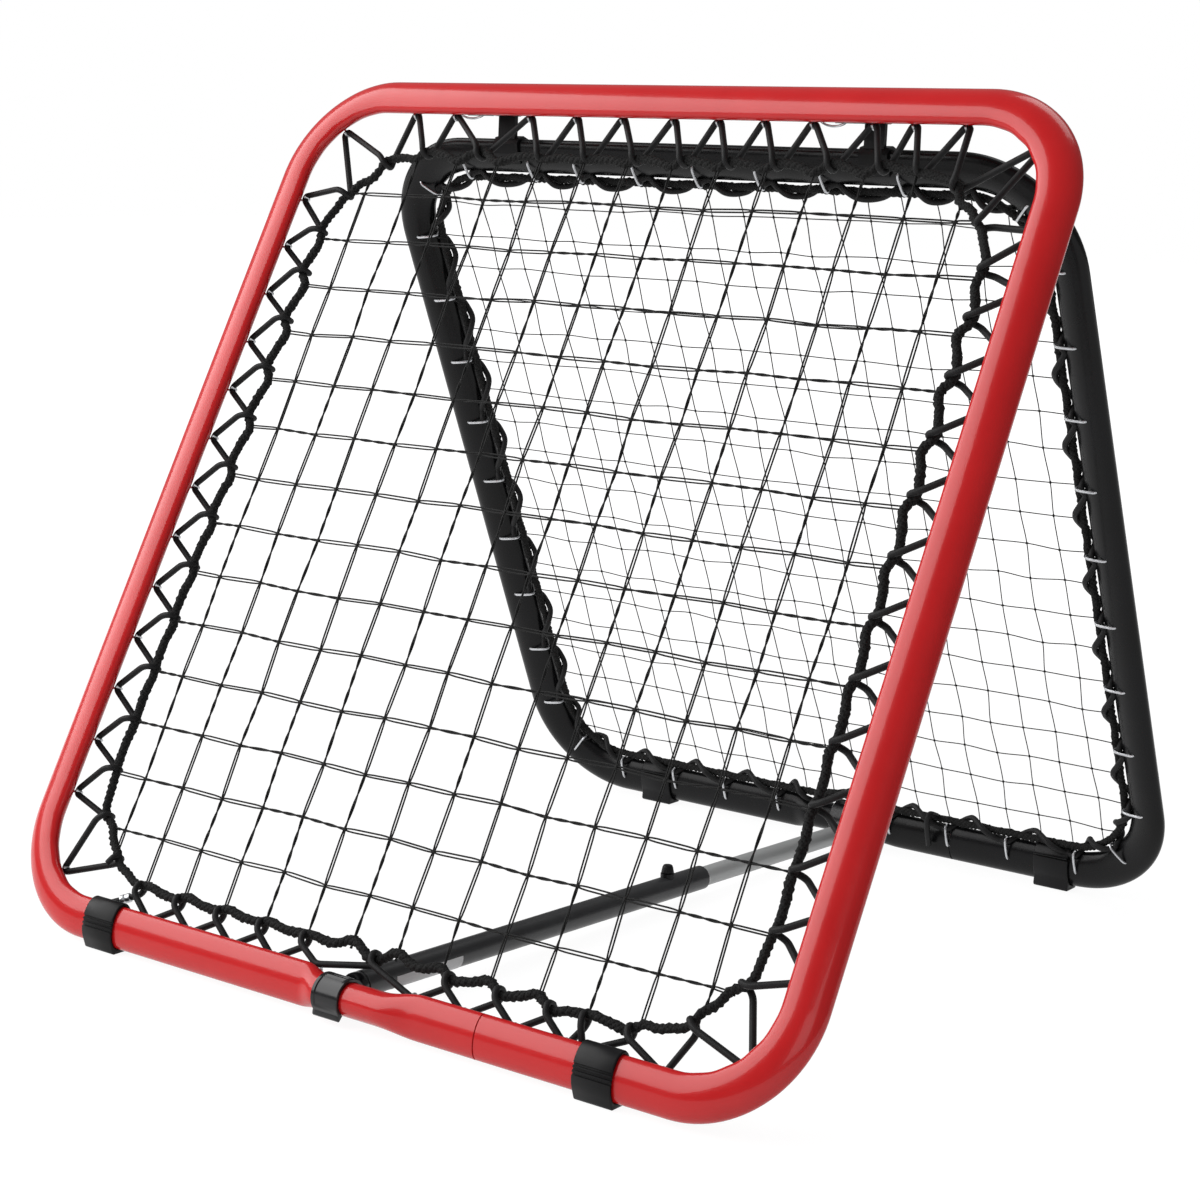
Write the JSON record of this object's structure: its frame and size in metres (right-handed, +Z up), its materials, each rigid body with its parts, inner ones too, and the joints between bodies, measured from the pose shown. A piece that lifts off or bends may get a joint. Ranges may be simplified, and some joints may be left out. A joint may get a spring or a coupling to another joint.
{
  "type": "ball rebounder",
  "caption": "Folding two-sided ball rebounder: laced nets in a larger and a smaller tube frame, hinged at the top and braced by a telescoping strut.",
  "frame": {"origin": "middle of the bounding box on the floor, under the hinge", "axes": "+Z up, -Y the way the larger front net faces, +X to the right seen from in front"},
  "size_m": [0.7618, 0.6956, 0.6797],
  "materials": {
    "red_paint": "gloss powder coat",
    "black_paint": "satin powder coat",
    "black_plastic": "semi-gloss moulded",
    "black_steel": "satin painted",
    "bright_steel": "plated",
    "zinc": "zinc plated",
    "dark_metal": "dark grey satin",
    "aluminium": "bare drawn tube",
    "black_cord": "woven cover",
    "black_twine": "twisted twine"
  },
  "bodies": {
    "front_frame": {"front_frame_tube": "red_paint", "front_joint_sleeve": "zinc", "front_left_foot": "black_plastic", "front_right_foot": "black_plastic", "front_border_rope": "black_cord", "front_bungee": "black_cord", "front_bungee_crimp": "zinc", "front_net": "black_twine", "left_hinge_bracket": "black_steel", "right_hinge_bracket": "black_steel", "left_hinge_pin": "bright_steel", "right_hinge_pin": "bright_steel"},
    "rear_frame": {"rear_frame_tube": "black_paint", "rear_joint_sleeve": "zinc", "rear_left_foot": "black_plastic", "rear_right_foot": "black_plastic", "rear_border_rope": "black_cord", "rear_bungee": "black_cord", "rear_net": "black_twine", "left_hinge_link": "black_steel", "right_hinge_link": "black_steel"},
    "strut_outer": {"front_strut_clip": "black_plastic", "strut_outer_tube": "dark_metal", "strut_clamp_nut": "black_steel"},
    "strut_inner": {"strut_inner_tube": "aluminium", "strut_inner_stop": "black_plastic", "rear_strut_clip": "black_plastic"},
    "clamp_knob": {"strut_clamp_knob": "black_plastic"},
    "left_ring": {"left_split_ring": "bright_steel"},
    "right_ring": {"right_split_ring": "bright_steel"}
  },
  "joints": [
    {"name": "fold", "type": "hinge", "parent": "front_frame", "child": "rear_frame", "pos_m": [0, 0.06126, 0.66051], "axis": [1, 0, 0], "range_deg": [-10.5, 4.5]},
    {"name": "strut_swing", "type": "hinge", "parent": "front_frame", "child": "strut_outer", "pos_m": [-0.012, -0.3322, 0.0202], "axis": [1, 0, 0], "range_deg": [-4.3, 1.9]},
    {"name": "strut_slide", "type": "slide", "parent": "strut_outer", "child": "strut_inner", "axis": [0.0391, 0.9991, -0.0173], "range_m": [-0.122, 0.053]},
    {"name": "clamp_turn", "type": "hinge", "parent": "strut_outer", "child": "clamp_knob", "pos_m": [0.00319, 0.05544, 0.01548], "axis": [0.0007, 0.0173, 0.9999], "range_deg": [0, 360]},
    {"name": "left_ring_swing", "type": "hinge", "parent": "front_frame", "child": "left_ring", "pos_m": [-0.2119, 0.06126, 0.66051], "axis": [0, 0.4828, 0.8757], "range_deg": [-45, 20]},
    {"name": "right_ring_swing", "type": "hinge", "parent": "front_frame", "child": "right_ring", "pos_m": [0.1501, 0.06126, 0.66051], "axis": [0, 0.4828, 0.8757], "range_deg": [-45, 20]}
  ],
  "couplings": [
    {"joint": "strut_swing", "follows": "fold", "ratio": 0.394},
    {"joint": "strut_slide", "follows": "fold", "m_per_rad": 0.648}
  ]
}
